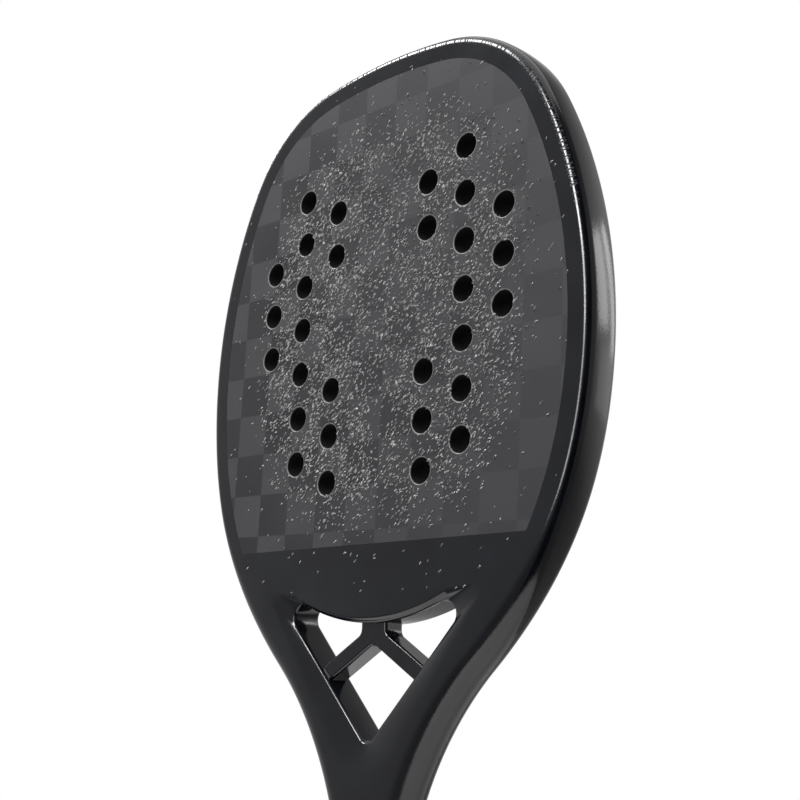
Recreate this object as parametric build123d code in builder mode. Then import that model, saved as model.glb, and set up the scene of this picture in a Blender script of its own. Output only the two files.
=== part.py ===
from build123d import *
import os
from math import copysign, cos, radians, sin, sqrt

# A perforated carbon racket for beach tennis, in millimetres.  The racket stands upright: +Z runs
# from the butt to the crown, +X to the right seen from the front, and the front face looks along -Y.
# The origin is the middle of the hand grip, on the racket's centre line.

# Overall size
crown_z = 436
butt_z = -64
frame_depth = 20
half_depth = frame_depth / 2

# The racket's edge seen from the front: tangent arcs from the crown down to the shaft, each with its
# radius and the angle it turns through.  A negative radius curves the other way.
crown_arc = (266, 8.6)
shoulder_arc = (79, 55.3)
side_arc = (235, 35.7)
hip_arc = (188, 37.0)
flare_arc = (-153.5, 46.6)
edge_arcs = (crown_arc, shoulder_arc, side_arc, hip_arc, flare_arc)

# Side wall of the frame: slightly crowned, with a rounded edge at each face.  Over the last part of the
# hip the rounding grows until the wall is fully round.
edge_radius = 4.4
wall_crown = 0.3
neck_radius = 9.6
growing_turn = 29

# Hole field: a staggered grid of air holes, given from the field's centre in rows of one pitch
field_z = crown_z - 129.7
hole_radius = 6
hole_pitch = 22.5
hole_columns = (
    (30.5, (2.5, 1.5, -1.5, -2.5, -3.5)),
    (53.5, (3, 2, 1, 0, -1, -2, -3)),
    (76.3, (1.5, 0.5, -0.5)),
)

# Head: the hoop is a tube round a foam core, and thin plies cover the core and lap onto the tube
hoop_width = 16
ply_inset = 12
glass_ply = 0.6
outer_ply = 0.4
ply_stack = glass_ply + outer_ply
pocket_floor_radius = 260
pocket_floor_z = field_z - 128
ply_lap = 4
weave_edge_z = field_z - 109
grit_size = (172, 196)
grit_corner = 62
grit_z = field_z - 5
grit_hole_margin = 0.8
grit_thickness = 0.15

# Hollow of the tubes
hoop_wall = 2.6
hoop_inner_wall = 1.8
hoop_hollow_depth = 14.8
arm_wall = 4.5
arm_hollow_depth = 11
hollow_gap = 2
hoop_hollow_floor_z = field_z - 99
arm_hollow_floor_z = field_z - 198
shaft_hollow_top_z = field_z - 208
knot_room_z = butt_z + 24

# Throat: an opening under the bridge, with a bevel sunk into both faces round it
throat_top_radius = 114
opening_top_z = field_z - 144
opening_top_turn = 21
opening_corner = (68.4, field_z - 125.3)
opening_tail_z = field_z - 197.1
opening_corner_radius = 6
opening_tail_radius = 4
bevel_top_z = field_z - 141.4
bevel_top_turn = 25.5
bevel_corner = (70.5, field_z - 128)
bevel_tail_z = field_z - 226.6
bevel_corner_radius = 3
bevel_tail_radius = 26
bevel_depth = 2.5

# Bridge between the arms, and the brace under it
bridge_foot = (42, field_z - 135.9)
bridge_shoulder_x = 70
bridge_wall = 2.2
bridge_hollow_depth = 13
brace_depth = 11
brace_axis_z = field_z - 148.4
brace_slope = 31
leg_width = 8
leg_length = 60
stem_width = 16
stem_bottom_z = field_z - 150
brace_inner_radius = 4
brace_edge_radius = 1.4

# Handle
shaft_end_z = butt_z + 4.5
handle_depth = 27
handle_side = 1.5
handle_chamfer = 7
handle_top_z = 66
handle_stations = ((butt_z, 27), (24, 27), (40, 25.4), (54, 23.2), (handle_top_z, 21))
pallet_gap = 3
wrap_thickness = 1.8
wrap_top_z = 60
wrap_bottom_z = butt_z + 14
tape_thickness = 0.3
tape_bottom_z = 46
collar_thickness = 1.1
collar_bottom_z = 52
collar_edge_radius = 1.2

# Butt cap, its end plate and the staples through its sleeve
cap_floor = 3
cap_flare = 4.6
cap_foot_inset = 1.2
cap_flare_height = 5
cap_edge_radius = 1.5
plate_edge_radius = 0.5
sleeve_thickness = 0.8
sleeve_top_z = butt_z + 25
plate_radius = 10
plate_flange_radius = 12.5
lanyard_radius = 3
staple_width = 9
staple_wire = 1.0
staple_thickness = 0.5
staple_leg = 3
staple_z = butt_z + 19.5

os.makedirs("parts", exist_ok=True)


def draw_edge(arcs, inset, start, heading):
    """Draw tangent arcs of the racket's edge, moved inwards by inset, and return them."""
    drawn = []
    for radius, turn in arcs:
        arc = JernArc(start, heading, abs(radius - inset), -copysign(turn, radius))
        drawn.append(arc)
        start = arc @ 1
        heading = arc % 1
    return drawn


def outline(inset=0.0, end_z=shaft_end_z):
    """The racket seen from the front, made smaller all round by inset."""
    with BuildSketch() as region:
        with BuildLine():
            arcs = draw_edge(edge_arcs, inset, (0, crown_z - inset), (1, 0))
            shaft_side = Line(arcs[-1] @ 1, ((arcs[-1] @ 1).X, end_z))
            Line(shaft_side @ 1, (0, end_z))
            mirror(about=Plane.YZ)
        make_face()
    return region.sketch


def head_outline(inset):
    """The head and hips seen from the front, made smaller by inset and cut off below the hips."""
    with BuildSketch() as region:
        with BuildLine():
            arcs = draw_edge(edge_arcs[:4], inset, (0, crown_z - inset), (1, 0))
            Line(arcs[-1] @ 1, (0, (arcs[-1] @ 1).Y))
            mirror(about=Plane.YZ)
        make_face()
    return region.sketch


def throat(top_z, top_turn, corner, tail_z, corner_radius, tail_radius):
    """A triangle with a sagging top and rounded corners, symmetric about the centre line."""
    with BuildSketch() as region:
        with BuildLine():
            top = JernArc((0, top_z), (1, 0), throat_top_radius, top_turn)
            Polyline(top @ 1, corner, (0, tail_z))
            mirror(about=Plane.YZ)
        make_face()
        fillet(region.vertices().sort_by(Axis.X)[0], corner_radius)
        fillet(region.vertices().sort_by(Axis.X)[-1], corner_radius)
        fillet(region.vertices().sort_by(Axis.Y)[0], tail_radius)
    return region.sketch


def floor_disc(extra=0.0):
    """The large disc whose lower edge is the rounded floor of the head."""
    with BuildSketch() as disc:
        with Locations((0, pocket_floor_z + pocket_floor_radius)):
            Circle(pocket_floor_radius + extra)
    return disc.sketch


def holes(radius):
    """The field of air holes."""
    with BuildSketch() as field:
        for x, rows in hole_columns:
            for row in rows:
                with Locations((x, field_z + row * hole_pitch), (-x, field_z + row * hole_pitch)):
                    Circle(radius)
    return field.sketch


def band(low_z, high_z):
    """A wide strip between two heights, used to trim the other regions."""
    with BuildSketch() as strip:
        with Locations((0, (low_z + high_z) / 2)):
            Rectangle(2 * crown_z, high_z - low_z)
    return strip.sketch


def wall_points(radius, crown):
    """Half of the side wall's curve, from mid-depth to the face: outward offset and distance."""
    points = [(0, 0)]
    for angle in (22.5, 45, 67.5, 90):
        out = radius * (cos(radians(angle)) - 1) - crown
        points.append((out, half_depth - radius + radius * sin(radians(angle))))
    return points


def wall_section(plane, points):
    """What is cut away outside the side wall; the plane's x points outwards, its y across the depth."""
    face_edge = points[-1]
    with BuildSketch(plane) as section:
        with BuildLine():
            Spline(*points, tangents=((0, 1), (-1, 0)))
            Polyline(face_edge, (face_edge[0], half_depth + 1), (3, half_depth + 1), (3, 0))
            mirror(about=Plane.XZ)
        make_face()
    return section.sketch


def edge_plane(edge, end):
    """A plane square to the racket's edge, with its x pointing out of the racket."""
    along = edge % end
    return Plane(origin=edge @ end, x_dir=(-along.Z, 0, along.X), z_dir=along)


def finish(piece, name):
    """Name a finished piece and write it out."""
    piece.part.label = name
    export_step(piece.part, f"parts/{name}.step")


# ---------------------------------------------------------------- solid form of the whole racket
even_hip = (hip_arc[0], hip_arc[1] - growing_turn)
growing_hip = (hip_arc[0], growing_turn)
with BuildLine(Plane.XZ) as head_edge:
    head_arcs = draw_edge([crown_arc, shoulder_arc, side_arc, even_hip], 0, (0, crown_z), (1, 0))
with BuildLine(Plane.XZ) as growing_edge:
    growing_arcs = draw_edge([growing_hip], 0, head_arcs[-1] @ 1, head_arcs[-1] % 1)
with BuildLine(Plane.XZ) as neck_edge:
    neck_arcs = draw_edge([flare_arc], 0, growing_arcs[-1] @ 1, growing_arcs[-1] % 1)
    Line(neck_arcs[-1] @ 1, ((neck_arcs[-1] @ 1).X, butt_z))

head_wall = wall_points(edge_radius, wall_crown)
neck_wall = wall_points(neck_radius, 0)
crown_plane = edge_plane(head_edge.line, 0)
growing_plane = edge_plane(growing_edge.line, 0)
neck_plane = edge_plane(neck_edge.line, 0)

with BuildPart() as edge_cutter:
    sweep(wall_section(crown_plane, head_wall), head_edge.line)
    growing_sections = [wall_section(growing_plane, head_wall), wall_section(neck_plane, neck_wall)]
    sweep(growing_sections, growing_edge.line, multisection=True)
    sweep(wall_section(neck_plane, neck_wall), neck_edge.line)

with BuildPart() as racket_form:
    with BuildSketch(Plane.XZ):
        add(outline())
    extrude(amount=half_depth, both=True)
    add(edge_cutter.part, mode=Mode.SUBTRACT)
    add(mirror(edge_cutter.part, about=Plane.YZ, mode=Mode.PRIVATE), mode=Mode.SUBTRACT)


# ---------------------------------------------------------------- regions of the head and throat
def head_region(inset, lap):
    """The rounded head inside the hoop, closed at the bottom by the large disc made larger by lap."""
    with BuildSketch() as region:
        add(head_outline(inset))
        add(floor_disc(lap), mode=Mode.INTERSECT)
    return region.sketch


core_pocket = head_region(hoop_width, 0)
ply_area = head_region(ply_inset, ply_lap)
hole_field = holes(hole_radius)

opening_points = (opening_top_z, opening_top_turn, opening_corner, opening_tail_z)
opening = throat(*opening_points, opening_corner_radius, opening_tail_radius)
bevel_points = (bevel_top_z, bevel_top_turn, bevel_corner, bevel_tail_z)
bevel = throat(*bevel_points, bevel_corner_radius, bevel_tail_radius)

# The bridge lies between the head's floor and the opening, and its ends slope up and out to the arms.
with BuildSketch() as bridge_area:
    with BuildLine():
        shoulder_drop = sqrt(pocket_floor_radius**2 - bridge_shoulder_x**2)
        bridge_shoulder = (bridge_shoulder_x, pocket_floor_z + pocket_floor_radius - shoulder_drop)
        Polyline((0, opening_tail_z), bridge_foot, bridge_shoulder, (0, bridge_shoulder[1]))
        mirror(about=Plane.YZ)
    make_face()
    add(floor_disc(), mode=Mode.SUBTRACT)
    add(opening, mode=Mode.SUBTRACT)
bridge_piece = bridge_area.faces().sort_by(Axis.Y)[-1]

# ---------------------------------------------------------------- foam in the hollow tubes
with BuildPart() as hoop_foam:
    with BuildSketch(Plane.XZ):
        add(outline(hoop_wall))
        add(outline(hoop_width - hoop_inner_wall), mode=Mode.SUBTRACT)
        add(band(hoop_hollow_floor_z, crown_z), mode=Mode.INTERSECT)
    extrude(amount=hoop_hollow_depth / 2, both=True)
finish(hoop_foam, "hoop_foam")

with BuildSketch() as arm_hollows:
    add(outline(arm_wall))
    add(band(arm_hollow_floor_z, hoop_hollow_floor_z - hollow_gap), mode=Mode.INTERSECT)
    add(head_region(hoop_width - hoop_inner_wall, hoop_inner_wall), mode=Mode.SUBTRACT)
    add(offset(bridge_piece, hollow_gap, mode=Mode.PRIVATE), mode=Mode.SUBTRACT)
    add(offset(opening, arm_wall, mode=Mode.PRIVATE), mode=Mode.SUBTRACT)
left_hollow = arm_hollows.faces().sort_by(SortBy.AREA)[-2:].sort_by(Axis.X)[0]

with BuildPart() as left_arm_foam:
    with BuildSketch(Plane.XZ):
        add(left_hollow)
    extrude(amount=arm_hollow_depth / 2, both=True)
finish(left_arm_foam, "left_arm_foam")

with BuildPart() as right_arm_foam:
    add(mirror(left_arm_foam.part, about=Plane.YZ, mode=Mode.PRIVATE))
finish(right_arm_foam, "right_arm_foam")

with BuildPart() as shaft_hollow:
    with BuildSketch(Plane.XZ):
        add(outline(arm_wall, shaft_end_z))
        add(band(shaft_end_z, shaft_hollow_top_z), mode=Mode.INTERSECT)
    extrude(amount=arm_hollow_depth / 2, both=True)

with BuildPart() as shaft_foam:
    add(shaft_hollow.part)
    split(bisect_by=Plane.XY.offset(knot_room_z), keep=Keep.TOP)
finish(shaft_foam, "shaft_foam")

with BuildPart() as bridge_foam:
    with BuildSketch(Plane.XZ):
        add(offset(bridge_piece, -bridge_wall, mode=Mode.PRIVATE))
    extrude(amount=bridge_hollow_depth / 2, both=True)
finish(bridge_foam, "bridge_foam")

# ---------------------------------------------------------------- frame tube and bridge
with BuildPart() as racket_blank:
    add(racket_form.part)
    with BuildSketch(Plane.XZ):
        add(core_pocket)
        add(opening)
    extrude(amount=half_depth, both=True, mode=Mode.SUBTRACT)
    for side in (1, -1):
        with BuildSketch(Plane.XZ.offset(side * (half_depth - ply_stack))):
            add(ply_area)
        extrude(amount=side * ply_stack, mode=Mode.SUBTRACT)
        with BuildSketch(Plane.XZ.offset(side * half_depth)):
            add(bevel)
        with BuildSketch(Plane.XZ.offset(side * (half_depth - bevel_depth))):
            add(opening)
        loft(mode=Mode.SUBTRACT)

with BuildPart() as frame_tube:
    add(racket_blank.part)
    with BuildSketch(Plane.XZ):
        add(bridge_piece)
    extrude(amount=half_depth, both=True, mode=Mode.SUBTRACT)
    for hollow in (hoop_foam, left_arm_foam, right_arm_foam, shaft_hollow):
        add(hollow.part, mode=Mode.SUBTRACT)
finish(frame_tube, "frame_tube")

with BuildPart() as bridge_tube:
    with BuildSketch(Plane.XZ):
        add(bridge_piece)
    extrude(amount=half_depth, both=True)
    add(racket_blank.part, mode=Mode.INTERSECT)
    add(bridge_foam.part, mode=Mode.SUBTRACT)
finish(bridge_tube, "bridge_tube")

# ---------------------------------------------------------------- brace under the bridge
with BuildPart() as throat_brace:
    with BuildSketch(Plane.XZ) as brace_area:
        with Locations((0, brace_axis_z)):
            leg_align = (Align.MIN, Align.CENTER)
            Rectangle(leg_length, leg_width, rotation=-brace_slope, align=leg_align)
            Rectangle(leg_length, leg_width, rotation=brace_slope - 180, align=leg_align)
        with Locations((0, stem_bottom_z)):
            Rectangle(stem_width, bridge_foot[1] - stem_bottom_z, align=(Align.CENTER, Align.MIN))
        stem_side = stem_width / 2 + 0.1
        middle_corners = brace_area.vertices().filter_by_position(Axis.X, -stem_side, stem_side)
        lower_corners = middle_corners.group_by(Axis.Y)[:-1]
        fillet([corner for row in lower_corners for corner in row], brace_inner_radius)
    extrude(amount=brace_depth / 2, both=True)
    brace_edges = throat_brace.edges()
    fillet(brace_edges.group_by(Axis.Y)[0] + brace_edges.group_by(Axis.Y)[-1], brace_edge_radius)
    with BuildSketch(Plane.XZ):
        add(opening)
    extrude(amount=half_depth, both=True, mode=Mode.INTERSECT)
finish(throat_brace, "throat_brace")

# ---------------------------------------------------------------- foam core and the plies over it
with BuildPart() as foam_core:
    with BuildSketch(Plane.XZ):
        add(core_pocket)
        add(hole_field, mode=Mode.SUBTRACT)
    extrude(amount=half_depth - ply_stack, both=True)
finish(foam_core, "foam_core")

with BuildSketch() as weave_area:
    add(ply_area)
    add(band(weave_edge_z, crown_z), mode=Mode.INTERSECT)

with BuildSketch() as yoke_area:
    add(ply_area)
    add(weave_area.sketch, mode=Mode.SUBTRACT)

with BuildSketch() as grit_area:
    with Locations((0, grit_z)):
        RectangleRounded(*grit_size, grit_corner)
    add(holes(hole_radius + grit_hole_margin), mode=Mode.SUBTRACT)

layers = (
    ("glass_ply", ply_area, half_depth - ply_stack, glass_ply),
    ("carbon_ply", weave_area.sketch, half_depth - outer_ply, outer_ply),
    ("yoke_ply", yoke_area.sketch, half_depth - outer_ply, outer_ply),
    ("grit_coat", grit_area.sketch, half_depth, grit_thickness),
)
for layer_name, region, seat, thickness in layers:
    with BuildPart() as front_layer:
        with BuildSketch(Plane.XZ.offset(seat)):
            add(region)
            add(hole_field, mode=Mode.SUBTRACT)
        extrude(amount=thickness)
    finish(front_layer, "front_" + layer_name)
    with BuildPart() as back_layer:
        add(mirror(front_layer.part, about=Plane.XZ, mode=Mode.PRIVATE))
    finish(back_layer, "back_" + layer_name)

# ---------------------------------------------------------------- handle
shaft_half = (neck_arcs[-1] @ 1).X
neck_foot_z = (neck_arcs[-1] @ 1).Z
flare_radius = -flare_arc[0]


def neck_half_width(z):
    """Half the racket's width at a height of the shaft or neck."""
    if z < neck_foot_z:
        return shaft_half
    return shaft_half + flare_radius - sqrt(flare_radius**2 - (z - neck_foot_z) ** 2)


def handle_form(extra, low_z, high_z):
    """The handle's eight-sided form, larger all round by extra, between two heights."""
    with BuildPart() as form:
        for z, depth in handle_stations:
            with BuildSketch(Plane.XY.offset(z)) as section:
                Rectangle(2 * (neck_half_width(z) + handle_side + extra), depth + 2 * extra)
                chamfer(section.vertices(), handle_chamfer + extra * (2 - sqrt(2)))
        loft(ruled=True)
        split(bisect_by=Plane.XY.offset(low_z), keep=Keep.TOP)
        split(bisect_by=Plane.XY.offset(high_z), keep=Keep.BOTTOM)
    return form.part


with BuildPart() as front_pallet:
    add(handle_form(0, shaft_end_z, handle_top_z))
    add(racket_form.part, mode=Mode.SUBTRACT)
    split(bisect_by=Plane.XZ.offset(pallet_gap / 2), keep=Keep.TOP)

with BuildPart() as staples:
    staple_y = handle_depth / 2 + sleeve_thickness
    for side in (-1, 1):
        crown_y = side * (staple_y - staple_thickness / 2)
        leg_y = side * (staple_y - staple_thickness - staple_leg / 2)
        with Locations((0, crown_y, staple_z)):
            Box(staple_width, staple_thickness, staple_wire)
        with Locations((0, leg_y, staple_z)):
            with GridLocations(staple_width - staple_wire, 0, 2, 1):
                Box(staple_wire, staple_leg, staple_wire)
finish(staples, "cap_staples")

with BuildPart() as butt_plate:
    with BuildSketch(Plane.XY.offset(butt_z)):
        Circle(plate_radius)
    extrude(amount=cap_floor)
    with BuildSketch(Plane.XY.offset(butt_z + cap_floor)):
        Circle(plate_flange_radius)
    extrude(amount=shaft_end_z - butt_z - cap_floor)
    with Locations((0, 0, butt_z)):
        Hole(lanyard_radius)
    fillet(butt_plate.edges().group_by(Axis.Z)[0].sort_by(SortBy.RADIUS)[-1], plate_edge_radius)
finish(butt_plate, "butt_plate")

with BuildPart() as butt_cap:
    cap_levels = (
        (butt_z, cap_flare - cap_foot_inset),
        (butt_z + cap_flare_height, cap_flare),
        (wrap_bottom_z, wrap_thickness),
    )
    for z, extra in cap_levels:
        with BuildSketch(Plane.XY.offset(z)) as level:
            Rectangle(2 * (shaft_half + handle_side + extra), handle_depth + 2 * extra)
            chamfer(level.vertices(), handle_chamfer + extra * (2 - sqrt(2)))
    loft(ruled=True)
    fillet(butt_cap.edges().group_by(Axis.Z)[0], cap_edge_radius)
    add(handle_form(sleeve_thickness, wrap_bottom_z, sleeve_top_z))
    add(handle_form(0, butt_z + cap_floor, sleeve_top_z), mode=Mode.SUBTRACT)
    add(butt_plate.part, mode=Mode.SUBTRACT)
    with Locations((0, 0, butt_z)):
        Hole(plate_radius)
    add(staples.part, mode=Mode.SUBTRACT)
finish(butt_cap, "butt_cap")

with BuildPart() as front_pallet_piece:
    add(front_pallet.part)
    add(staples.part, mode=Mode.SUBTRACT)
finish(front_pallet_piece, "front_pallet")

with BuildPart() as back_pallet:
    add(mirror(front_pallet_piece.part, about=Plane.XZ, mode=Mode.PRIVATE))
finish(back_pallet, "back_pallet")

# ---------------------------------------------------------------- grip
with BuildPart() as grip_wrap:
    add(handle_form(wrap_thickness, wrap_bottom_z, wrap_top_z))
    add(handle_form(0, wrap_bottom_z, wrap_top_z), mode=Mode.SUBTRACT)
    add(butt_cap.part, mode=Mode.SUBTRACT)
    add(staples.part, mode=Mode.SUBTRACT)
finish(grip_wrap, "grip_wrap")

with BuildPart() as finishing_tape:
    add(handle_form(wrap_thickness + tape_thickness, tape_bottom_z, wrap_top_z))
    add(handle_form(wrap_thickness, tape_bottom_z, wrap_top_z), mode=Mode.SUBTRACT)
finish(finishing_tape, "finishing_tape")

with BuildPart() as grip_collar:
    under_collar = wrap_thickness + tape_thickness
    add(handle_form(under_collar + collar_thickness, collar_bottom_z, handle_top_z))
    add(handle_form(under_collar, collar_bottom_z, wrap_top_z), mode=Mode.SUBTRACT)
    add(handle_form(0, wrap_top_z, handle_top_z), mode=Mode.SUBTRACT)
    fillet(grip_collar.edges().group_by(Axis.Z)[-1], collar_edge_radius)
finish(grip_collar, "grip_collar")
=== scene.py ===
from math import cos, pi, radians, sin, tan

import bmesh
import bpy
import numpy as np
from mathutils import Matrix, Vector, noise
from mathutils.geometry import delaunay_2d_cdt


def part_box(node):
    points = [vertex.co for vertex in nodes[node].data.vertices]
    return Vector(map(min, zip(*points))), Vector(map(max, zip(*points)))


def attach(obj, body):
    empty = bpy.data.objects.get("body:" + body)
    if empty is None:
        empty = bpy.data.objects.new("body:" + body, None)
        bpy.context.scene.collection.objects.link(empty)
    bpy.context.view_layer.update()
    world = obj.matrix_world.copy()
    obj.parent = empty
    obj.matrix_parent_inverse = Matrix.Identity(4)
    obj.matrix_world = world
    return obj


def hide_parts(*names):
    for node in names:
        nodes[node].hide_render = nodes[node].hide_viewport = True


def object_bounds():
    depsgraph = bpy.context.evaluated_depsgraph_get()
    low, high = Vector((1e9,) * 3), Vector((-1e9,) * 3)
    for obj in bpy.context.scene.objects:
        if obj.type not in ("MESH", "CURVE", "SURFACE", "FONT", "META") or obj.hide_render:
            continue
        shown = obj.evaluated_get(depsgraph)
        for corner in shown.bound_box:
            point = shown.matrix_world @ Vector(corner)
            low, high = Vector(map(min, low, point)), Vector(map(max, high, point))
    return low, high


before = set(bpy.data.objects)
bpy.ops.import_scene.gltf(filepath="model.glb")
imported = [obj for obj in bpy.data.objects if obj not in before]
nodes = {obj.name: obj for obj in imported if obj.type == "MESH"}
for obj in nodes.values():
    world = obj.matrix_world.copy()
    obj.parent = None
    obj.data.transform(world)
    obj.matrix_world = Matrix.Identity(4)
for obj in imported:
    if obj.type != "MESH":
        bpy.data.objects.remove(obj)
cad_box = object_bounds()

mm = 0.001

# ---------------------------------------------------------------- dimensions, from the CAD frame
frame_low, frame_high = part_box("frame_tube")
crown_z = frame_high.z
shaft_end_z = frame_low.z
half_depth = frame_high.y
field_z = crown_z - 129.7 * mm

# The racket's edge seen from the front: radius and turn of each arc, from the crown to the shaft
edge_arcs = ((266, 8.6), (79, 55.3), (235, 35.7), (188, 37.0), (-153.5, 46.6))
growing_arc = 3
growing_turn = 29
edge_step = 2.4 * mm

# Side wall: crowned, with rounded edges that grow until the neck's wall is fully round
edge_radius = 4.4 * mm
neck_radius = 9.6 * mm
wall_tilt = 6
wall_rows = 8
corner_rows = 16
ribbed_rows = 0.6 * corner_rows

# Head, closed below by an arc that sags towards the throat
ply_inset = 12 * mm
core_inset = 16 * mm
foot_radius = 260 * mm
foot_z = field_z - 128 * mm
foot_lap = 4 * mm
foot_steps = 40
ply_stack = 1.0 * mm
weave_edge_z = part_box("front_carbon_ply")[0].z

# Air holes: each column's distance from the centre line, and its rows counted in pitches
hole_radius = 6 * mm
rim_width = 0.5 * mm
rim_steps = 4
hole_points = 48
hole_pitch = 22.5 * mm
hole_columns = (
    (30.5, (2.5, 1.5, -1.5, -2.5, -3.5)),
    (53.5, (3, 2, 1, 0, -1, -2, -3)),
    (76.3, (1.5, 0.5, -0.5)),
)

# Checks of the cloth: their size, the middle of one dark check, and how they lean
check_size = 20.6 * mm
check_x = -44 * mm
check_z = field_z + 94 * mm
check_turn = -1.2

# Dull breaks in the gloss of the edge next to the face: where they begin, and how close they are
rib_start_z = field_z + 22 * mm
rib_fade = 14 * mm
ribs_per_radian = 95
rib_reach = 0.9 * mm

# Throat: the opening, and the soft bevel round it. Each shape is the height of its sagging top, the
# top's turn, its upper corner, the height of its lower corner, and the radii of the two corners
throat_radius = 114 * mm
opening_shape = (-144.0, 21.0, (68.4, -125.3), -197.1, 6.0, 4.0)
bevel_shape = (-141.4, 25.5, (70.5, -128.0), -226.6, 3.0, 26.0)
throat_top_steps = 16
throat_bend_steps = 12
throat_ease_steps = 5
throat_side_steps = 36
bevel_depth = 2.5 * mm
bevel_power = 1.7
bevel_rows = 10
lip_radius = 1.7 * mm
lip_turn = 75
lip_rows = 5

# Grains on each face: how many, their sizes before each is scaled, and how they lean
grain_count = 9000
grain_length = (1.5 * mm, 2.4 * mm)
grain_width = (0.55 * mm, 0.80 * mm)
grain_height = (0.40 * mm, 0.65 * mm)
grain_lean = 40
grain_lean_spread = 15
grain_sunk = 0.15 * mm
grain_low_z = field_z - 132 * mm

# Where the grains lie, in millimetres from the centre of the holes: the area tried, the dense zone's
# middle and reach, half the width of the thinner strip down the middle, and the share of strays
grain_area = ((-112, 112), (-136, 122))
dense_middle = (3, -3)
dense_reach = (90, 105)
thin_strip = 13
stray_share = 0.018

# Handle: eight-sided section, depth at a few heights, and the cap, grip, tape and collar on it
butt_z = cad_box[0].z
handle_side = 1.5 * mm
handle_chamfer = 7 * mm
handle_heights = (butt_z, 24 * mm, 40 * mm, 54 * mm, 66 * mm)
handle_depths = (27 * mm, 27 * mm, 25.4 * mm, 23.2 * mm, 21 * mm)
section_points = 120
corner_softness = 4 * mm
grip_low_z = butt_z + 14 * mm
grip_high_z = 60 * mm
strip_pitch = 23 * mm
strip_width = 26 * mm
vents_round_handle = 26
vents_across_strip = 5
plate_radius = 10 * mm
cap_floor = 3 * mm
neck_top_z = field_z - 150 * mm

# Round floor that the racket stands on
floor_disc_radius = 0.3

# ---------------------------------------------------------------- camera
camera_azimuth = 45.0
camera_elevation = -12.95
camera_roll = 1.86
camera_distance = 575.7 * mm
camera_lens = 57.46
aim_x = 16.8 * mm
aim_z = 261.1 * mm


def facing(azimuth, elevation):
    """Direction from the object to a viewer or a lamp; azimuth 0 is in front, 90 on the right."""
    a = radians(azimuth)
    e = radians(elevation)
    return Vector((sin(a) * cos(e), -cos(a) * cos(e), sin(e)))


def add_camera():
    """A camera to the right of the front face and a little below the middle of the head."""
    back = facing(camera_azimuth, camera_elevation)
    turn = back.to_track_quat("Z", "Y").to_matrix() @ Matrix.Rotation(radians(camera_roll), 3, "Z")
    data = bpy.data.cameras.new("camera")
    data.lens = camera_lens
    data.sensor_width = 36
    data.clip_start = 0.01
    camera = bpy.data.objects.new("camera", data)
    aim = Vector((aim_x, -half_depth, aim_z))
    camera.matrix_world = Matrix.Translation(aim + back * camera_distance) @ turn.to_4x4()
    bpy.context.scene.collection.objects.link(camera)
    bpy.context.scene.camera = camera


# ---------------------------------------------------------------- outlines
def edge_walk():
    """Right half of the racket's edge: x, z, outward x, outward z and how far the rounding has grown."""
    x, z, heading = 0.0, crown_z, 0.0
    path = [(x, z, 0.0, 1.0, 0.0)]
    for number, (radius, turn) in enumerate(edge_arcs):
        bend = 1 if radius > 0 else -1
        reach = abs(radius) * mm
        centre_x = x - bend * reach * sin(heading)
        centre_z = z - bend * reach * cos(heading)
        pieces = max(4, round(reach * radians(turn) / edge_step))
        for i in range(1, pieces + 1):
            angle = heading + bend * radians(turn) * i / pieces
            x = centre_x + bend * reach * sin(angle)
            z = centre_z + bend * reach * cos(angle)
            if number < growing_arc:
                grown = 0.0
            elif number > growing_arc:
                grown = 1.0
            else:
                to_end = turn - turn * i / pieces
                grown = max(0.0, 1 - to_end / growing_turn)
            path.append((x, z, sin(angle), cos(angle), grown * grown * (3 - 2 * grown)))
        heading = angle
    pieces = round((z - shaft_end_z) / (4 * edge_step))
    path += [(x, z + (shaft_end_z - z) * i / pieces, 1.0, 0.0, 1.0) for i in range(1, pieces + 1)]
    return path


def both_sides(right):
    """A closed loop from its right half, which starts and may end on the centre line."""
    left = [(-x, z) for x, z in reversed(right) if abs(x) > 1e-7]
    return right + left


def head_loop(inset, lap=0.0, low_z=None):
    """The head's outline made smaller by inset, closed by the arc at its foot or by a level line."""
    centre = foot_z + foot_radius
    radius = foot_radius + lap
    right = []
    for x, z, nx, nz, _ in edge_walk():
        px, pz = x - inset * nx, z - inset * nz
        above = pz > low_z if low_z is not None else px * px + (pz - centre) ** 2 < radius**2
        if pz < field_z and not above:
            break
        right.append((px, pz))
    ax, az = right[-1]
    if low_z is not None:
        t = (az - low_z) / (az - pz)
        corner = (ax + (px - ax) * t, low_z)
        return both_sides(right + [corner])
    for i in range(foot_steps + 1):
        angle = np.arcsin(ax / radius) * (1 - i / foot_steps)
        right.append((radius * sin(angle), centre - radius * cos(angle)))
    return both_sides(right)


def rounded(before, corner, after, radius, count):
    """Points of the arc that rounds a corner between two straight lines."""
    a = (Vector(before) - Vector(corner)).normalized()
    b = (Vector(after) - Vector(corner)).normalized()
    half = a.angle(b) / 2
    centre = Vector(corner) + (a + b).normalized() * (radius / sin(half))
    start = Vector(corner) + a * (radius / tan(half)) - centre
    end = Vector(corner) + b * (radius / tan(half)) - centre
    total = start.angle_signed(end)
    points = []
    for i in range(count + 1):
        turned = start.copy()
        turned.rotate(Matrix.Rotation(-total * i / count, 2))
        points.append(tuple(centre + turned))
    return points


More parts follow.
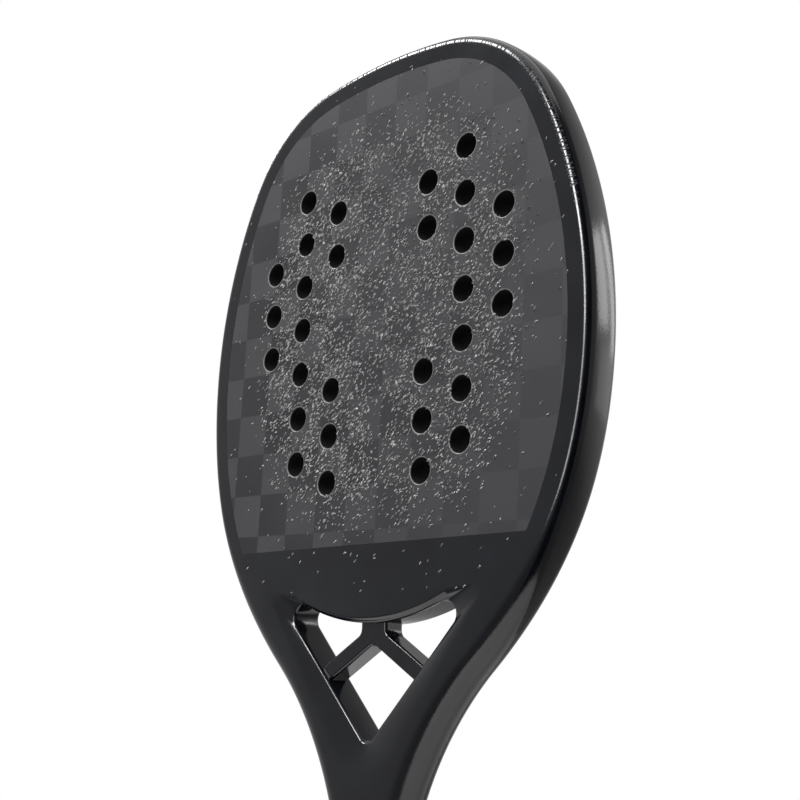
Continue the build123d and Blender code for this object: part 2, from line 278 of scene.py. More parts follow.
def throat_loop(shape):
    """The opening or the bevel: a triangle with a sagging top, as a closed loop of matching points."""
    top_z, top_turn, corner, tail_z, corner_radius, tail_radius = shape
    top_z = field_z + top_z * mm
    corner = (corner[0] * mm, field_z + corner[1] * mm)
    tail = (0.0, field_z + tail_z * mm)
    top = []
    for i in range(throat_top_steps + 1):
        angle = radians(top_turn) * i / throat_top_steps
        top.append((throat_radius * sin(angle), top_z + throat_radius * (1 - cos(angle))))
    bend = rounded(top[-1], corner, tail, corner_radius * mm, throat_bend_steps)
    left_corner = (-corner[0], corner[1])
    half_steps = 8
    foot = rounded(corner, tail, left_corner, tail_radius * mm, 2 * half_steps)[: half_steps + 1]
    ease = spaced(top[-1], bend[0], throat_ease_steps)[1:-1]
    side = spaced(bend[-1], foot[0], throat_side_steps)[1:-1]
    foot[-1] = (0.0, foot[-1][1])
    return both_sides(top + ease + bend + side + foot)


def spaced(a, b, count):
    """Evenly spaced points from a to b."""
    return [tuple(Vector(a).lerp(Vector(b), i / count)) for i in range(count + 1)]


# ---------------------------------------------------------------- mesh helpers
def inside(point, loop):
    """True if the point lies inside the closed loop."""
    x, z = point
    odd = False
    for (x1, z1), (x2, z2) in zip(loop, loop[1:] + loop[:1]):
        if (z1 > z) != (z2 > z) and x < (x2 - x1) * (z - z1) / (z2 - z1) + x1:
            odd = not odd
    return odd


def fill(bm, outer, inner, verts, facing_front):
    """Fills the flat region between an outer loop and inner loops, whose bmesh vertices are given."""
    loops = [outer] + inner
    flat = [Vector(p) for loop in loops for p in loop]
    edges = []
    for loop in loops:
        start = len(edges)
        edges += [(start + i, start + (i + 1) % len(loop)) for i in range(len(loop))]
    out_verts, _, faces, origins, _, _ = delaunay_2d_cdt(flat, edges, [], 0, 1e-9)
    for face in faces:
        centre = sum((out_verts[i] for i in face), Vector((0, 0))) / 3
        point = (centre.x, centre.y)
        if not inside(point, outer) or any(inside(point, loop) for loop in inner):
            continue
        corners = [verts[origins[i][0]] for i in face]
        if facing_front:
            bm.faces.new(corners)
        else:
            bm.faces.new(corners[::-1])


def bridge(bm, first, second, closed=True):
    """Quads between two rows of vertices."""
    count = len(first) if closed else len(first) - 1
    for i in range(count):
        j = (i + 1) % len(first)
        bm.faces.new((first[i], first[j], second[j], second[i]))


def loop_verts(bm, loop, y):
    """Vertices of a loop at one depth."""
    return [bm.verts.new((x, y, z)) for x, z in loop]


def make_piece(name, bm, materials, replaced, sharp_angle=35):
    """Turns a bmesh into a finished piece that rides on the racket."""
    bmesh.ops.recalc_face_normals(bm, faces=bm.faces)
    mesh = bpy.data.meshes.new(name)
    bm.to_mesh(mesh)
    bm.free()
    mesh.shade_smooth()
    mesh.set_sharp_from_angle(angle=radians(sharp_angle))
    for material in materials:
        mesh.materials.append(material)
    piece = bpy.data.objects.new(name, mesh)
    bpy.context.scene.collection.objects.link(piece)
    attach(piece, "root")
    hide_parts(*replaced)
    return piece


# ---------------------------------------------------------------- frame
def wall_profile(grown):
    """Outward offset and depth from mid-depth, along half of the side wall, up to the face."""
    radius = edge_radius + (neck_radius - edge_radius) * grown
    tilt = radians(wall_tilt) * (1 - grown)
    flat = half_depth - radius * (1 - sin(tilt))
    crown = flat * tan(tilt) / 2
    points = [(-crown * (i / wall_rows) ** 2, flat * i / wall_rows) for i in range(wall_rows)]
    for i in range(corner_rows + 1):
        angle = tilt + (radians(90) - tilt) * i / corner_rows
        out = radius * (cos(angle) - cos(tilt)) - crown
        points.append((out, half_depth - radius * (1 - sin(angle))))
    return points


def bevel_profile(width):
    """From the throat's wall over its rounded lip and up the bevel: reach and depth of each row."""
    lip = min(lip_radius, width * 0.3)
    start = lip * 0.75 / width
    slope_start = half_depth - bevel_depth * (1 - start) ** bevel_power
    base = slope_start - lip * sin(radians(lip_turn))
    points = []
    for k in range(lip_rows + 1):
        angle = radians(lip_turn / lip_rows * k)
        points.append((lip * (1 - cos(angle)), base + lip * sin(angle)))
    for k in range(1, bevel_rows):
        u = start + (1 - start) * k / bevel_rows
        points.append((width * u, half_depth - bevel_depth * (1 - u) ** bevel_power))
    return points


def add_frame(materials):
    """The lacquered shell: hoop, arms, shaft and bridge, with the throat's soft bevel."""
    bm = bmesh.new()
    walk = edge_walk()
    walk = [(-x, z, -nx, nz, w) for x, z, nx, nz, w in reversed(walk[1:])] + walk
    columns = []
    for x, z, nx, nz, grown in walk:
        half = wall_profile(grown)
        full = [(out, -y) for out, y in reversed(half)] + half[1:]
        columns.append([bm.verts.new((x + nx * out, y, z + nz * out)) for out, y in full])
    for a, b in zip(columns, columns[1:]):
        bridge(bm, a, b, closed=False)
    bm.faces.ensure_lookup_table()
    rows = len(columns[0]) - 1
    for number, face in enumerate(bm.faces):
        if min(number % rows, rows - 1 - number % rows) < ribbed_rows:
            face.material_index = 1
    bm.faces.new(columns[0] + columns[-1][::-1])

    ply = head_loop(ply_inset, foot_lap)
    core = head_loop(core_inset)
    opening = throat_loop(opening_shape)
    bevel = throat_loop(bevel_shape)
    ends = {}
    for side in (-1, 1):
        y = side * half_depth
        rim = [column[0 if side < 0 else -1] for column in columns]
        rim_loop = [(v.co.x, v.co.z) for v in rim]
        ply_top = loop_verts(bm, ply, y)
        ply_low = loop_verts(bm, ply, side * (half_depth - ply_stack))
        core_top = loop_verts(bm, core, side * (half_depth - ply_stack))
        bridge(bm, ply_top, ply_low)
        fill(bm, ply, [core], ply_low + core_top, side < 0)
        rows = [[] for _ in range(lip_rows + bevel_rows)]
        bevel_top = loop_verts(bm, bevel, y)
        for (ox, oz), (bx, bz) in zip(opening, bevel):
            across = Vector((bx - ox, bz - oz))
            along = across.normalized()
            for row, (reach, depth) in zip(rows, bevel_profile(across.length)):
                row.append(bm.verts.new((ox + along.x * reach, side * depth, oz + along.y * reach)))
        rows.append(bevel_top)
        for a, b in zip(rows, rows[1:]):
            bridge(bm, a, b)
        fill(bm, rim_loop, [ply, bevel], rim + ply_top + bevel_top, side < 0)
        ends[side] = (core_top, rows[0])
    bridge(bm, ends[-1][0], ends[1][0])
    bridge(bm, ends[-1][1], ends[1][1])
    return make_piece("frame_shell", bm, materials, ["frame_tube", "bridge_tube"])


# ---------------------------------------------------------------- face skins
def hole_centres():
    """Centres of the air holes."""
    right = [(x * mm, field_z + row * hole_pitch) for x, rows in hole_columns for row in rows]
    return [(side * x, z) for x, z in right for side in (-1, 1)]


def circle(centre, radius):
    """Points of a hole's circle, as a closed loop."""
    steps = [2 * pi * i / hole_points for i in range(hole_points)]
    return [(centre[0] + radius * cos(a), centre[1] + radius * sin(a)) for a in steps]


def add_skin(face, side, materials):
    """The carbon cloth of one face: a thin skin with a rounded rim at every hole."""
    bm = bmesh.new()
    name = face + "_carbon_ply"
    low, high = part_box(name)
    outer_y, inner_y = (low.y, high.y) if side < 0 else (high.y, low.y)
    edge = head_loop(ply_inset, low_z=weave_edge_z)
    edge_top = loop_verts(bm, edge, outer_y)
    edge_low = loop_verts(bm, edge, inner_y)
    bridge(bm, edge_top, edge_low)
    top = list(edge_top)
    low_verts = list(edge_low)
    for centre in hole_centres():
        rows = []
        for k in range(rim_steps + 1):
            a = radians(90) * (1 - k / rim_steps)
            radius = hole_radius + rim_width * (1 - cos(a))
            y = outer_y + (inner_y - outer_y) * 0.9 * (1 - sin(a))
            rows.append(loop_verts(bm, circle(centre, radius), y))
        rows.append(loop_verts(bm, circle(centre, hole_radius), inner_y))
        before = len(bm.faces)
        for a, b in zip(rows, rows[1:]):
            bridge(bm, a, b)
        bm.faces.ensure_lookup_table()
        # The rim faces take the second material, whose lighter grey is a painted glint.
        for rim_face in bm.faces[before:]:
            rim_face.material_index = 1
        top += rows[0]
        low_verts += rows[-1]
    wide_holes = [circle(centre, hole_radius + rim_width) for centre in hole_centres()]
    holes = [circle(centre, hole_radius) for centre in hole_centres()]
    fill(bm, edge, wide_holes, top, side < 0)
    fill(bm, edge, holes, low_verts, side > 0)
    return make_piece(face + "_skin", bm, materials, [name])


# ---------------------------------------------------------------- grains
def grain_chance(x, z):
    """How likely a grain is at a point of the face."""
    from_x, from_z = x - dense_middle[0], z - dense_middle[1]
    reach = ((abs(from_x) / dense_reach[0]) ** 2.5 + (abs(from_z) / dense_reach[1]) ** 2.5) ** 0.4
    dense = min(1.0, max(0.0, (1.06 - reach) / 0.34))
    clump = 0.72 + 0.9 * noise.noise(Vector((x * 0.07, z * 0.07, 5.0)))
    middle = 1 - 0.45 * np.exp(-((from_x / thin_strip) ** 2))
    stray = stray_share * min(1.0, max(0.0, (1.45 - reach) / 0.4))
    return min(1.0, max(0.0, dense * dense * (3 - 2 * dense) * clump * middle)) + stray


def add_grains(face, side, seed, material):
    """Sharp mineral grains set in the lacquer of one face, as small roof-shaped crystals."""
    bm = bmesh.new()
    rng = np.random.default_rng(seed)
    name = face + "_grit_coat"
    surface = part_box(name)[0].y if side < 0 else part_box(name)[1].y
    surface -= side * grain_sunk
    centres = hole_centres()
    edge = head_loop(ply_inset * 0.5, low_z=grain_low_z)
    clear_of_hole = hole_radius + 0.2 * mm
    made = 0
    while made < grain_count:
        x = rng.uniform(*grain_area[0])
        z = rng.uniform(*grain_area[1])
        if rng.random() > grain_chance(x, z):
            continue
        px, pz = x * mm, field_z + z * mm
        if min((px - cx) ** 2 + (pz - cz) ** 2 for cx, cz in centres) < clear_of_hole**2:
            continue
        if not inside((px, pz), edge):
            continue
        made += 1
        size = rng.uniform(0.55, 1.0) ** 1.3
        length = rng.uniform(*grain_length) * size
        width = rng.uniform(*grain_width) * size
        height = rng.uniform(*grain_height) * size
        lean = radians(rng.normal(grain_lean, grain_lean_spread))
        ux, uz = cos(lean), sin(lean)
        ridge = rng.uniform(0.2, 0.55)
        shift = rng.uniform(-0.4, 0.4) * width
        corners = [(-length, -width, -0.2), (length, -width, -0.2)]
        corners += [(length, width, -0.2), (-length, width, -0.2)]
        corners += [(-length * ridge, shift, 1.0), (length * ridge, shift, rng.uniform(0.6, 1.0))]
        verts = []
        for a, b, h in corners:
            a = a / 2 * rng.uniform(0.8, 1.15)
            b = b / 2 * rng.uniform(0.8, 1.15)
            point = (px + a * ux - b * uz, surface + side * h * height, pz + a * uz + b * ux)
            verts.append(bm.verts.new(point))
        for loop in ((0, 1, 5, 4), (1, 2, 5), (2, 3, 4, 5), (3, 0, 4), (3, 2, 1, 0)):
            bm.faces.new([verts[i] for i in loop])
    return make_piece(face + "_grains", bm, [material], [name], 1)


# ---------------------------------------------------------------- handle
# The neck and shaft from the top down: heights, negated so that they rise, and half widths
neck = [(x, z) for x, z, _, _, _ in edge_walk() if z < neck_top_z]
neck_depths = [-z for x, z in neck]
neck_halves = [x for x, z in neck]
shaft_half = neck_halves[-1]


def handle_section():
    """Evenly spaced points of the handle's eight-sided section with softened corners."""
    half_x = shaft_half + handle_side
    half_y = handle_depths[0] / 2
    cut_x, cut_y = half_x - handle_chamfer, half_y - handle_chamfer
    corners = [(half_x, cut_y), (cut_x, half_y), (-cut_x, half_y), (-half_x, cut_y)]
    corners += [(-x, -y) for x, y in corners]
    outline = []
    for i, corner in enumerate(corners):
        outline += rounded(corners[i - 1], corner, corners[(i + 1) % 8], corner_softness, 5)
    outline = np.array(outline + outline[:1])
    along = np.concatenate(([0], np.cumsum(np.linalg.norm(np.diff(outline, axis=0), axis=1))))
    places = np.linspace(0, along[-1], section_points, endpoint=False)
    return [(np.interp(p, along, outline[:, 0]), np.interp(p, along, outline[:, 1])) for p in places]


def handle_point(section, number, z, extra):
    """A point of the handle's surface, further out by extra."""
    base_x = shaft_half + handle_side
    base_y = handle_depths[0] / 2
    half_x = np.interp(-z, neck_depths, neck_halves) + handle_side
    half_y = np.interp(z, handle_heights, handle_depths) / 2
    x, y = section[number % section_points]
    return (x * (half_x + extra) / base_x, y * (half_y + extra) / base_y, z)


def add_band(name, profile, material, replaced):
    """A solid ring round the handle, from its closed profile of heights and distances out."""
    bm = bmesh.new()
    section = handle_section()
    rows = []
    for z, extra in profile:
        rows.append([bm.verts.new(handle_point(section, i, z, extra)) for i in range(section_points)])
    for a, b in zip(rows, rows[1:] + rows[:1]):
        bridge(bm, a, b)
    return make_piece(name, bm, [material], replaced)


def strip_profile():
    """Round the grip strip's section: share of its width, and distance out in millimetres."""
    raised_edge = [(0.0, 1.35), (0.006, 1.62), (0.02, 1.76), (0.045, 1.80)]
    raised_edge += [(0.08, 1.74), (0.12, 1.58), (0.17, 1.40), (0.23, 1.30)]
    middle = [(0.35, 1.27), (0.5, 1.26), (0.65, 1.27), (0.80, 1.27)]
    thinned_edge = [(0.86, 1.0), (0.93, 0.75), (1.0, 0.5)]
    inner = [(1.0, 0.1), (0.8, 0.08), (0.5, 0.08), (0.25, 0.1), (0.14, 0.5), (0.06, 0.95), (0.0, 1.1)]
    return raised_edge + middle + thinned_edge + inner


def add_grip(material):
    """The grip: one cushioned strip wound up the handle, each turn over the edge of the last."""
    bm = bmesh.new()
    section = handle_section()
    profile = strip_profile()
    turns = (grip_high_z - grip_low_z + strip_width) / strip_pitch + 0.2
    start_z = grip_low_z - strip_width
    columns = []
    for i in range(round(turns * section_points) + 1):
        rise = start_z + strip_pitch * i / section_points
        column = []
        for share, extra in profile:
            point = handle_point(section, i, rise + share * strip_width, extra * mm)
            column.append(bm.verts.new(point))
        columns.append(column)
    for a, b in zip(columns, columns[1:]):
        bridge(bm, a, b)
    for height, low in ((grip_low_z, True), (grip_high_z, False)):
        parts = bm.verts[:] + bm.edges[:] + bm.faces[:]
        plane = {"plane_co": (0, 0, height), "plane_no": (0, 0, 1)}
        cut = bmesh.ops.bisect_plane(bm, geom=parts, clear_inner=low, clear_outer=not low, **plane)
        rim = [e for e in cut["geom_cut"] if isinstance(e, bmesh.types.BMEdge) and e.is_boundary]
        bmesh.ops.holes_fill(bm, edges=rim, sides=0)
    return make_piece("grip_strip", bm, [material], ["grip_wrap"], 50)


def cap_levels():
    """The butt cap from its foot up, then inside: height and distance out, in millimetres."""
    top = 14.0
    levels = [(0.0, 2.3), (0.12, 2.75), (0.45, 3.2), (0.9, 3.45), (1.5, 3.65), (3.2, 4.25)]
    levels += [(4.4, 4.55), (5.0, 4.6), (5.8, 4.5), (6.6, 4.2)]
    for i in range(6):
        low = 7.0 + 1.05 * i
        out = 4.05 - 0.31 * (low - 7.0)
        levels += [(low, out), (low + 0.25, out - 0.45)]
        levels += [(low + 0.6, out - 0.52), (low + 0.85, out - 0.25)]
    levels += [(13.6, 1.95), (13.95, 1.7), (top, 1.4)]
    return levels + [(top, 0.0), (cap_floor / mm, 0.0)]


def add_cap(material):
    """The butt cap: a flared moulding with a rounded foot, fine ribs and an opening for its plate."""
    bm = bmesh.new()
    section = handle_section()
    rows = []
    for z, extra in cap_levels():
        ring = [handle_point(section, i, butt_z + z * mm, extra * mm) for i in range(section_points)]
        rows.append([bm.verts.new(point) for point in ring])
    turns = [np.arctan2(y, x) for x, y in section]
    for z, wider in ((cap_floor, 0.0), (0.4 * mm, 0.0), (0.0, 0.3 * mm)):
        radius = plate_radius + wider
        ring = [(radius * cos(a), radius * sin(a), butt_z + z) for a in turns]
        rows.append([bm.verts.new(point) for point in ring])
    for a, b in zip(rows, rows[1:] + rows[:1]):
        bridge(bm, a, b)
    return make_piece("butt_cap_shell", bm, [material], ["butt_cap"], 40)


def tape_profile():
    """The finishing tape: a thin band whose edges are pressed down."""
    low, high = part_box("finishing_tape")[0].z, grip_high_z - 0.2 * mm
    outer = [(low, 1.85), (low + 0.15 * mm, 2.02), (low + 0.5 * mm, 2.1), (high, 2.1)]
    return [(z, extra * mm) for z, extra in outer + [(high, 1.82), (low, 1.82)]]


def collar_profile():
    """The rubber collar: rounded ribs below, a smooth taper down to the shaft above."""
    low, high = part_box("grip_collar")[0].z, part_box("grip_collar")[1].z
    outer = [(low, 2.3 * mm), (low + 0.25 * mm, 2.75 * mm)]
    ribs_top = low + 9 * mm
    for i in range(37):
        z = low + 0.6 * mm + (ribs_top - low - 0.6 * mm) * i / 36
        outer.append((z, (2.95 + 0.25 * cos(2 * pi * (z - low) / (2.4 * mm))) * mm))
    taper_low = ribs_top + 0.6 * mm
    for i in range(9):
        a = radians(90) * i / 8
        outer.append((taper_low + (high - taper_low) * sin(a), (0.5 + 2.6 * cos(a)) * mm))
    inner = [(high, 0.05 * mm), (grip_high_z, 0.05 * mm), (grip_high_z, 2.12 * mm), (low, 2.12 * mm)]
    return outer + inner


# ---------------------------------------------------------------- materials
def node(tree, kind, inputs=None, **settings):
    """Adds a node and fills its sockets from values or from other nodes' outputs."""
    made = tree.nodes.new(kind)
    for key, value in settings.items():
        setattr(made, key, value)
    for key, value in (inputs or {}).items():
        if isinstance(value, bpy.types.NodeSocket):
            tree.links.new(value, made.inputs[key])
        else:
            made.inputs[key].default_value = value
    return made


def start_material(name, **constants):
    """A material with a Principled shader, whose constant sockets are set by name."""
    material = bpy.data.materials.new(name)
    material.use_nodes = True
    shader = material.node_tree.nodes["Principled BSDF"]
    for key, value in constants.items():
        socket = shader.inputs[key.replace("_", " ").title().replace("Ior", "IOR")]
        socket.default_value = (*value, 1) if isinstance(value, tuple) else value
    return material, material.node_tree, shader


def place_of(tree):
    """Position on the racket, in metres."""
    return node(tree, "ShaderNodeTexCoord").outputs["Object"]


def stretched(tree, place, scale):
    """Position with its axes scaled, for streaks and fibres."""
    return node(tree, "ShaderNodeMapping", {"Vector": place, "Scale": scale}).outputs[0]


def speckle(tree, place, scale, detail):
    """A noise value between 0 and 1."""
    inputs = {"Vector": place, "Scale": scale, "Detail": detail}
    return node(tree, "ShaderNodeTexNoise", inputs).outputs[0]


def spread(tree, value, low, high, to_low, to_high):
    """A value mapped from one range to another and kept in it."""
    inputs = {0: value, 1: low, 2: high, 3: to_low, 4: to_high}
    return node(tree, "ShaderNodeMapRange", inputs).outputs[0]


def arithmetic(tree, operation, first, second=0.0):
    """The result of a Math node."""
    return node(tree, "ShaderNodeMath", {0: first, 1: second}, operation=operation).outputs[0]


def blend_colour(tree, factor, first, second):
    """A colour between two colours or sockets."""
    mix = node(tree, "ShaderNodeMix", data_type="RGBA")
    for number, value in ((0, factor), (6, first), (7, second)):
        if isinstance(value, bpy.types.NodeSocket):
            tree.links.new(value, mix.inputs[number])
        else:
            mix.inputs[number].default_value = (*value, 1) if isinstance(value, tuple) else value
    return mix.outputs[2]


def add_bump(tree, shader, height, strength, distance):
    """Fine relief from a height value."""
    bump = node(tree, "ShaderNodeBump", {"Height": height, "Strength": strength, "Distance": distance})
    tree.links.new(bump.outputs[0], shader.inputs["Normal"])


def grey(level):
    """A neutral colour."""
    return (level, level, level)


def lacquer(name, ribbed):
    """Black gloss lacquer: clouded depth and orange peel, and short dull breaks where it's ribbed."""
    material, tree, shader = start_material(name, ior=1.5)
    place = place_of(tree)
    cloud = speckle(tree, place, 35, 4)
    deep = spread(tree, cloud, 0.35, 0.7, 0, 1)
    colour = blend_colour(tree, deep, (0.0012, 0.0014, 0.0024), (0.0034, 0.0039, 0.0060))
    tree.links.new(colour, shader.inputs["Base Color"])
    rough = spread(tree, cloud, 0.3, 0.75, 0.112, 0.175)
    if ribbed:
        x, y, z = node(tree, "ShaderNodeSeparateXYZ", {0: place}).outputs
        depth = arithmetic(tree, "ABSOLUTE", y)
        above = arithmetic(tree, "SUBTRACT", z, field_z)
        turn = arithmetic(tree, "ARCTAN2", x, above)
        along = node(tree, "ShaderNodeCombineXYZ", {0: turn}).outputs[0]
        ribs = speckle(tree, along, ribs_per_radian, 1)
        gap = spread(tree, ribs, 0.44, 0.49, 0.75, 0.0)
        high_up = spread(tree, z, rib_start_z, rib_start_z + rib_fade, 0.0, 1.0)
        face_y = half_depth - rib_reach
        near_face = spread(tree, depth, face_y - 0.5 * mm, face_y, 0.0, 1.0)
        gap = arithmetic(tree, "MULTIPLY", gap, high_up)
        gap = arithmetic(tree, "MULTIPLY", gap, near_face)
        rough = arithmetic(tree, "ADD", rough, gap)
    tree.links.new(rough, shader.inputs["Roughness"])
    add_bump(tree, shader, speckle(tree, place, 900, 2), 0.12, 0.0002)
    return material


def carbon_cloth(name):
    """Checkered cloth of wide flat tows: squares whose fibres run across or along the racket."""
    material, tree, shader = start_material(name, ior=1.4, specular_ior_level=0.15)
    place = place_of(tree)
    to_check = {"Vector": place, "Location": (-check_x, 0, -check_z)}
    centred = node(tree, "ShaderNodeMapping", to_check).outputs[0]
    to_grid = {"Vector": centred, "Location": (0.5, 0.5, 0.5), "Rotation": (0, radians(check_turn), 0)}
    to_grid["Scale"] = (1 / check_size, 0, 1 / check_size)
    grid = node(tree, "ShaderNodeMapping", to_grid).outputs[0]
    checks = node(tree, "ShaderNodeTexChecker", {"Vector": grid, "Scale": 1.0}).outputs["Fac"]
    across = speckle(tree, stretched(tree, place, (60, 1, 2600)), 1, 3)
    along = speckle(tree, stretched(tree, place, (2600, 1, 60)), 1, 3)
    fibre = node(tree, "ShaderNodeMix", {0: checks, 2: across, 3: along}, data_type="FLOAT").outputs[0]
    cloud = speckle(tree, place, 28, 3)
    across_x = node(tree, "ShaderNodeSeparateXYZ", {0: place}).outputs[0]
    # The checks are the real weave; their lighter and darker colours are painted sheen, since tows
    # across and along the racket reflect light differently.
    dark = blend_colour(tree, fibre, (0.0158, 0.0156, 0.0170), (0.0215, 0.0212, 0.0230))
    light = blend_colour(tree, fibre, (0.0330, 0.0326, 0.0345), (0.0410, 0.0405, 0.0425))
    shade = blend_colour(tree, checks, dark, light)
    # Towards the right the checks fade to one flat colour: a painted change of sheen, standing for the
    # checks' contrast as the view changes.
    sheen_fade = spread(tree, across_x, -0.07, 0.05, 0.0, 0.65)
    shade = blend_colour(tree, sheen_fade, shade, (0.0275, 0.0272, 0.0293))
    worn = spread(tree, cloud, 0.35, 0.7, 0, 0.4)
    faded = blend_colour(tree, worn, shade, (0.0295, 0.0291, 0.0310))
    tree.links.new(faded, shader.inputs["Base Color"])
    rough = spread(tree, fibre, 0.2, 0.8, 0.55, 0.72)
    tree.links.new(rough, shader.inputs["Roughness"])
    add_bump(tree, shader, fibre, 0.25, 0.0001)
    return material


def mineral(name):
    """Clear to milky grains that scatter a little light."""
    material, tree, shader = start_material(name, ior=1.5)
    place = place_of(tree)
    cloud = speckle(tree, place, 700, 2)
    milky = spread(tree, cloud, 0.40, 0.72, 0, 1)
    colour = blend_colour(tree, milky, grey(0.08), grey(0.62))
    tree.links.new(colour, shader.inputs["Base Color"])
    tree.links.new(spread(tree, cloud, 0.3, 0.7, 0.25, 0.5), shader.inputs["Roughness"])
    return material


def grained(name, dark, light, scale, roughness, relief, distance, **constants):
    """A surface with a fine grain in its colour, gloss and relief."""
    material, tree, shader = start_material(name, ior=1.4, **constants)
    place = place_of(tree)
    grain = speckle(tree, place, scale, 3)
    colour = blend_colour(tree, spread(tree, grain, 0.3, 0.7, 0, 1), dark, light)
    tree.links.new(colour, shader.inputs["Base Color"])
    rough = spread(tree, grain, 0.3, 0.7, roughness * 0.9, min(1.0, roughness * 1.1))
    tree.links.new(rough, shader.inputs["Roughness"])
    add_bump(tree, shader, grain, relief, distance)
    return material


def grip_skin(name):
    """Soft polyurethane with a fine leather grain and rows of pricked vent holes, dark with painted
    shade.
    """
    material, tree, shader = start_material(name, ior=1.45, sheen_weight=0.12, sheen_roughness=0.5)
    place = place_of(tree)
    grain = node(tree, "ShaderNodeTexVoronoi", {"Vector": place, "Scale": 1400}).outputs["Distance"]
    cloud = speckle(tree, place, 60, 4)
    x, y, z = node(tree, "ShaderNodeSeparateXYZ", {0: place}).outputs
    turns = arithmetic(tree, "DIVIDE", arithmetic(tree, "ARCTAN2", y, x), 2 * pi)
    climb = arithmetic(tree, "MULTIPLY", turns, strip_pitch)
    rise = arithmetic(tree, "SUBTRACT", z, climb)
    around = arithmetic(tree, "MULTIPLY", turns, vents_round_handle)
    across = arithmetic(tree, "DIVIDE", rise, strip_pitch / vents_across_strip)
    cell = node(tree, "ShaderNodeCombineXYZ", {0: around, 1: across}).outputs[0]
    nearest = node(tree, "ShaderNodeVectorMath", {0: cell}, operation="FRACTION").outputs[0]
    to_middle = {0: nearest, 1: (0.5, 0.5, 0)}
    offset = node(tree, "ShaderNodeVectorMath", to_middle, operation="DISTANCE").outputs["Value"]
    vent = spread(tree, offset, 0.10, 0.16, 0.0, 1.0)
    wear = spread(tree, cloud, 0.35, 0.7, 0, 1)
    worn = blend_colour(tree, wear, (0.010, 0.010, 0.011), (0.020, 0.020, 0.021))
    # Painted shade: the vent holes, which are only dents in the relief, are coloured near black as if
    # shade filled them.
    tree.links.new(blend_colour(tree, vent, grey(0.002), worn), shader.inputs["Base Color"])
    tree.links.new(spread(tree, cloud, 0.3, 0.7, 0.42, 0.6), shader.inputs["Roughness"])
    fine = node(tree, "ShaderNodeBump", {"Height": grain, "Strength": 0.3, "Distance": 0.0002})
    deep = {"Height": vent, "Strength": 0.9, "Distance": 0.0004, "Normal": fine.outputs[0]}
    tree.links.new(node(tree, "ShaderNodeBump", deep).outputs[0], shader.inputs["Normal"])
    return material


def assign(name, material):
    """Gives a CAD node its material."""
    if not nodes[name].material_slots:
        nodes[name].data.materials.append(material)
    for slot in nodes[name].material_slots:
        slot.material = material


# ---------------------------------------------------------------- stage
def add_floor(material):
    """A small round floor under the butt, whose edge stays below the picture."""
    bm = bmesh.new()
    bmesh.ops.create_circle(bm, cap_ends=True, segments=96, radius=floor_disc_radius)
    bmesh.ops.translate(bm, verts=bm.verts, vec=(0, 0, cad_box[0].z))
    mesh = bpy.data.meshes.new("floor")
    bm.to_mesh(mesh)
    bm.free()
    floor = bpy.data.objects.new("floor", mesh)
    bpy.context.scene.collection.objects.link(floor)
    mesh.materials.append(material)


def add_light(name, azimuth, elevation, distance, size, power, aim):
    """A soft rectangular lamp aimed at a point of the head."""
    direction = facing(azimuth, elevation)
    data = bpy.data.lights.new(name, "AREA")
    data.shape = "RECTANGLE"
    data.size, data.size_y = size
    data.energy = power
    lamp = bpy.data.objects.new(name, data)
    lamp.location = Vector(aim) + direction * distance
    lamp.rotation_mode = "QUATERNION"
    lamp.rotation_quaternion = direction.to_track_quat("Z", "Y")
    bpy.context.scene.collection.objects.link(lamp)
    lamp.visible_camera = False


def add_world():
    """A room dark where the camera stands and grey elsewhere, that the camera itself sees as white."""
    world = bpy.data.worlds.new("studio")
    bpy.context.scene.world = world
    world.use_nodes = True
    tree = world.node_tree
    background = tree.nodes["Background"]
    place = node(tree, "ShaderNodeTexCoord").outputs["Generated"]
    flat = {0: place, 1: (1, 1, 0)}
    level = node(tree, "ShaderNodeVectorMath", flat, operation="MULTIPLY").outputs[0]
    level = node(tree, "ShaderNodeVectorMath", {0: level}, operation="NORMALIZE").outputs[0]
    to_camera = {0: level, 1: facing(camera_azimuth, 0)}
    toward = node(tree, "ShaderNodeVectorMath", to_camera, operation="DOT_PRODUCT").outputs["Value"]
    to_glow = {0: place, 1: facing(155, 15)}
    behind = node(tree, "ShaderNodeVectorMath", to_glow, operation="DOT_PRODUCT").outputs["Value"]
    sides = spread(tree, toward, 0.87, 0.93, 0.42, 0.02)
    back = spread(tree, toward, 0.1, -0.9, 0.0, 0.35)
    glow = spread(tree, behind, 0.8, 1.0, 0.0, 0.5)
    room = arithmetic(tree, "ADD", sides, back)
    room = arithmetic(tree, "ADD", room, glow)
    height = node(tree, "ShaderNodeSeparateXYZ", {0: place}).outputs[2]
    above = spread(tree, height, 0.5, 0.75, 1.0, 0.4)
    below = spread(tree, height, -0.3, -0.05, 0.5, 1.0)
    room = arithmetic(tree, "MULTIPLY", room, above)
    room = arithmetic(tree, "MULTIPLY", room, below)
    seen = node(tree, "ShaderNodeLightPath").outputs["Is Camera Ray"]
    white = {0: seen, 2: room, 3: 1.0}
    shade = node(tree, "ShaderNodeMix", white, data_type="FLOAT").outputs[0]
    tree.links.new(shade, background.inputs["Color"])
    background.inputs["Strength"].default_value = 1.0


# ---------------------------------------------------------------- assembly
frame_black = lacquer("frame_black", False)
edge_black = lacquer("edge_black", True)
cloth = carbon_cloth("carbon_cloth")
grit = mineral("mineral_grit")
grip = grip_skin("grip_polyurethane")
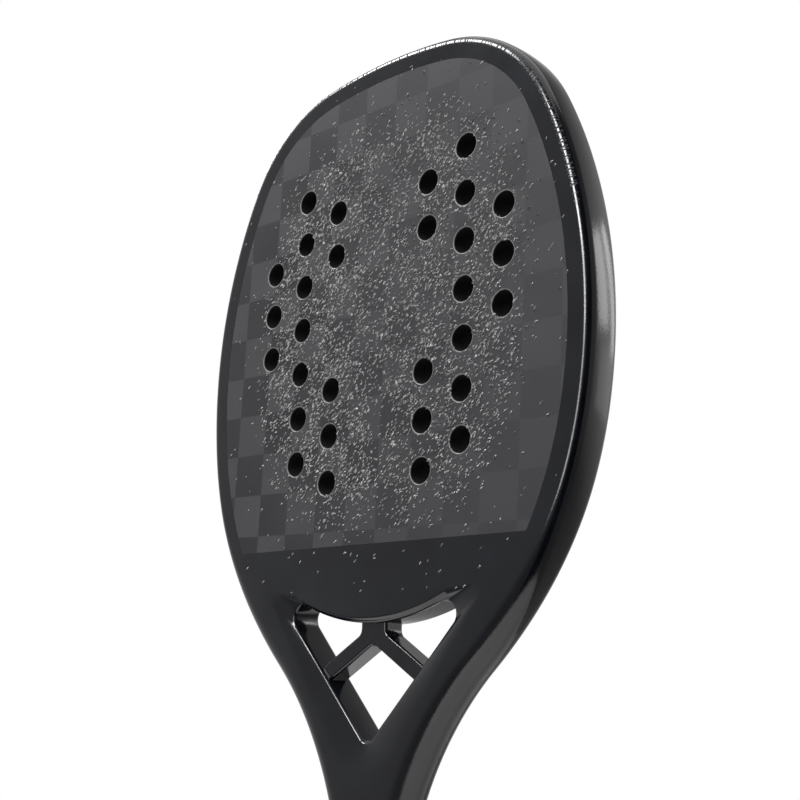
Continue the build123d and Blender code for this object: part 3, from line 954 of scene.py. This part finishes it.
# Painted highlight: the hole rims are a lighter grey than the black lacquer, standing for the glint on
# each rounded rim.
rim_glint_grey = grained("rim_painted_glint", grey(0.08), grey(0.15), 600, 0.35, 0.1, 0.0001)
foam = grained("black_foam", grey(0.0015), grey(0.004), 1500, 0.95, 0.5, 0.0004)
glass_colours = ((0.004, 0.005, 0.004), (0.009, 0.010, 0.008))
glass = grained("dark_glass_laminate", *glass_colours, 900, 0.45, 0.3, 0.0002)
filler = grained("filler_foam", (0.55, 0.50, 0.38), (0.68, 0.62, 0.48), 1200, 0.95, 0.6, 0.0005)
pallet_foam = grained("pallet_foam", grey(0.10), grey(0.16), 1000, 0.9, 0.5, 0.0004)
cap_colours = ((0.012, 0.012, 0.013), (0.020, 0.020, 0.021))
cap_plastic = grained("cap_plastic", *cap_colours, 2200, 0.45, 0.35, 0.0002)
rubber = grained("collar_rubber", grey(0.009), grey(0.015), 1600, 0.6, 0.3, 0.0002)
tape = grained("finishing_tape", (0.014, 0.014, 0.015), (0.024, 0.024, 0.025), 500, 0.35, 0.15, 0.0002)
steel_colours = ((0.45, 0.45, 0.46), (0.60, 0.60, 0.61))
steel = grained("staple_steel", *steel_colours, 3000, 0.3, 0.2, 0.0001, metallic=1.0)
pale = grained("pale_floor", grey(0.78), grey(0.84), 3, 0.8, 0.02, 0.001)

worn_by = (
    (frame_black, ("frame_tube", "bridge_tube", "throat_brace", "front_yoke_ply", "back_yoke_ply")),
    (cloth, ("front_carbon_ply", "back_carbon_ply")),
    (grit, ("front_grit_coat", "back_grit_coat")),
    (foam, ("foam_core",)),
    (glass, ("front_glass_ply", "back_glass_ply")),
    (filler, ("hoop_foam", "left_arm_foam", "right_arm_foam", "shaft_foam", "bridge_foam")),
    (pallet_foam, ("front_pallet", "back_pallet")),
    (cap_plastic, ("butt_cap", "butt_plate")),
    (steel, ("cap_staples",)),
    (grip, ("grip_wrap",)),
    (tape, ("finishing_tape",)),
    (rubber, ("grip_collar",)),
)
for material, names in worn_by:
    for name in names:
        assign(name, material)

# Each lamp's azimuth, elevation, distance, size, power and the point it's aimed at
mid_head = (0, 0, 0.3)
right_edge = (0.12, 0, 0.3)
crown = (0, 0, crown_z)
lamps = {
    "strip_high": (3, 34.5, 1.0, (0.25, 0.33), 7, mid_head),
    "strip_middle": (3, 20, 1.0, (0.25, 0.21), 2.6, mid_head),
    "strip_low": (3, 2, 1.0, (0.25, 0.42), 2.6, mid_head),
    "crown_box": (-49, 49, 1.3, (0.84, 0.40), 24, crown),
    "side_box": (140, 22, 1.6, (0.36, 0.50), 2.3, right_edge),
    "edge_box": (154, 20, 1.6, (0.18, 0.60), 1.4, right_edge),
    "low_box": (146, 4, 1.6, (0.6, 0.35), 0.6, right_edge),
    "left_box": (-105, 38, 1.5, (1.0, 0.6), 4, mid_head),
    "top_box": (0, 88, 2.2, (2.4, 2.4), 24, mid_head),
}
add_camera()
add_floor(pale)
add_world()
for name, setting in lamps.items():
    add_light(name, *setting)
add_frame([frame_black, edge_black])
add_skin("front", -1, [cloth, rim_glint_grey])
add_skin("back", 1, [cloth, rim_glint_grey])
add_grains("front", -1, 3, grit)
add_grains("back", 1, 4, grit)
add_grip(grip)
add_cap(cap_plastic)
add_band("tape_band", tape_profile(), tape, ["finishing_tape"])
add_band("collar_sleeve", collar_profile(), rubber, ["grip_collar"])
bpy.context.scene.view_settings.view_transform = "Standard"
